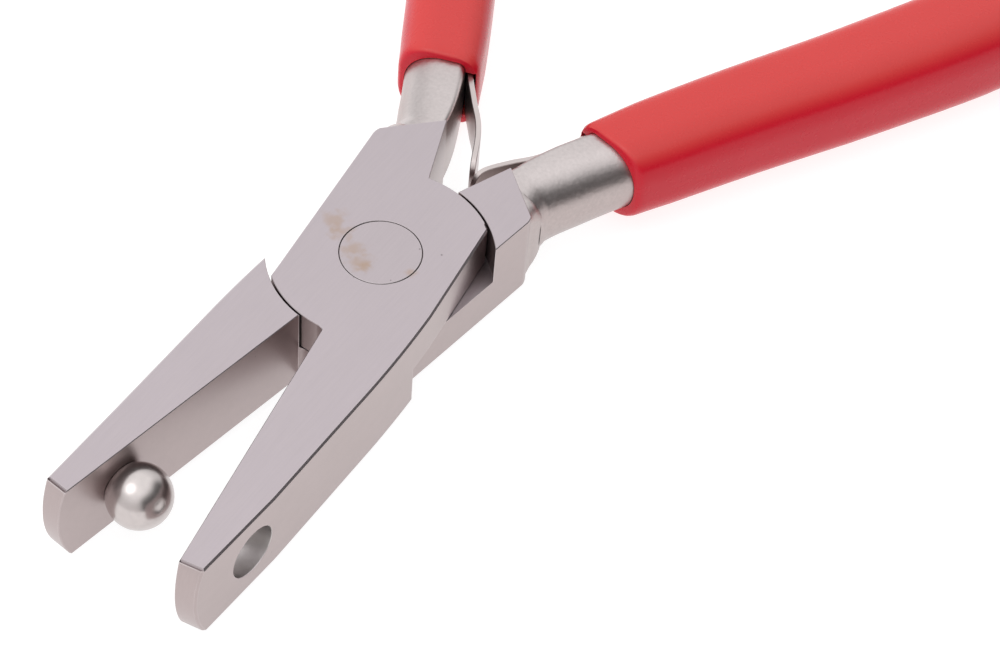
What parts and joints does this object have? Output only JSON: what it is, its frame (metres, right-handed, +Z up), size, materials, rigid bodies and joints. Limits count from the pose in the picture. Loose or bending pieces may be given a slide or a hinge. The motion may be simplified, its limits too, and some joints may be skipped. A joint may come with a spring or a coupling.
{
  "type": "dimpling pliers",
  "caption": "Lap-joint jewellery pliers with a polished ball on one jaw, a matching hole in the other, leaf springs and red dipped grips.",
  "frame": {"origin": "on the pivot axis at the underside of the joint, at the rivet's lower face", "axes": "+Z up along the pivot axis, +Y from the joint between the handles, -Y to the jaws; the jaw with the hole is on the +X side"},
  "size_m": [0.0968, 0.1443, 0.0119],
  "materials": {
    "ground_steel": "fine ground flats and satin shanks",
    "rivet_steel": "ground flush, faint rust round the edge",
    "polished_ball": "polished",
    "spring_steel": "satin strip",
    "red_vinyl": "dipped, soft gloss"
  },
  "bodies": {
    "die_half": {"die_arm": "ground_steel", "die_grip": "red_vinyl", "die_leaf_rivet": "rivet_steel", "joint_rivet": "rivet_steel"},
    "ball_half": {"ball_arm": "ground_steel", "ball_grip": "red_vinyl", "ball_leaf_rivet": "rivet_steel", "ball_punch": "polished_ball"},
    "die_leaf": {"die_leaf_spring": "spring_steel"},
    "ball_leaf": {"ball_leaf_spring": "spring_steel"}
  },
  "joints": [
    {"name": "pivot", "type": "hinge", "parent": "die_half", "child": "ball_half", "pos_m": [0, 0, 0.00485], "axis": [0, 0, 1], "range_deg": [-4, 11], "stiffness_Nm_per_rad": 3},
    {"name": "die_leaf_flex", "type": "hinge", "parent": "die_half", "child": "die_leaf", "pos_m": [-0.0077, 0.02795, 0.00485], "axis": [0, 0, 1], "range_deg": [-8, 3], "deforming": ["die_leaf_spring"]},
    {"name": "ball_leaf_flex", "type": "hinge", "parent": "ball_half", "child": "ball_leaf", "pos_m": [0.00592, 0.02411, 0.00485], "axis": [0, 0, 1], "range_deg": [-5, 13], "deforming": ["ball_leaf_spring"]}
  ],
  "couplings": [
    {"joint": "die_leaf_flex", "follows": "pivot", "ratio": -0.7},
    {"joint": "ball_leaf_flex", "follows": "pivot", "ratio": 1.1}
  ]
}
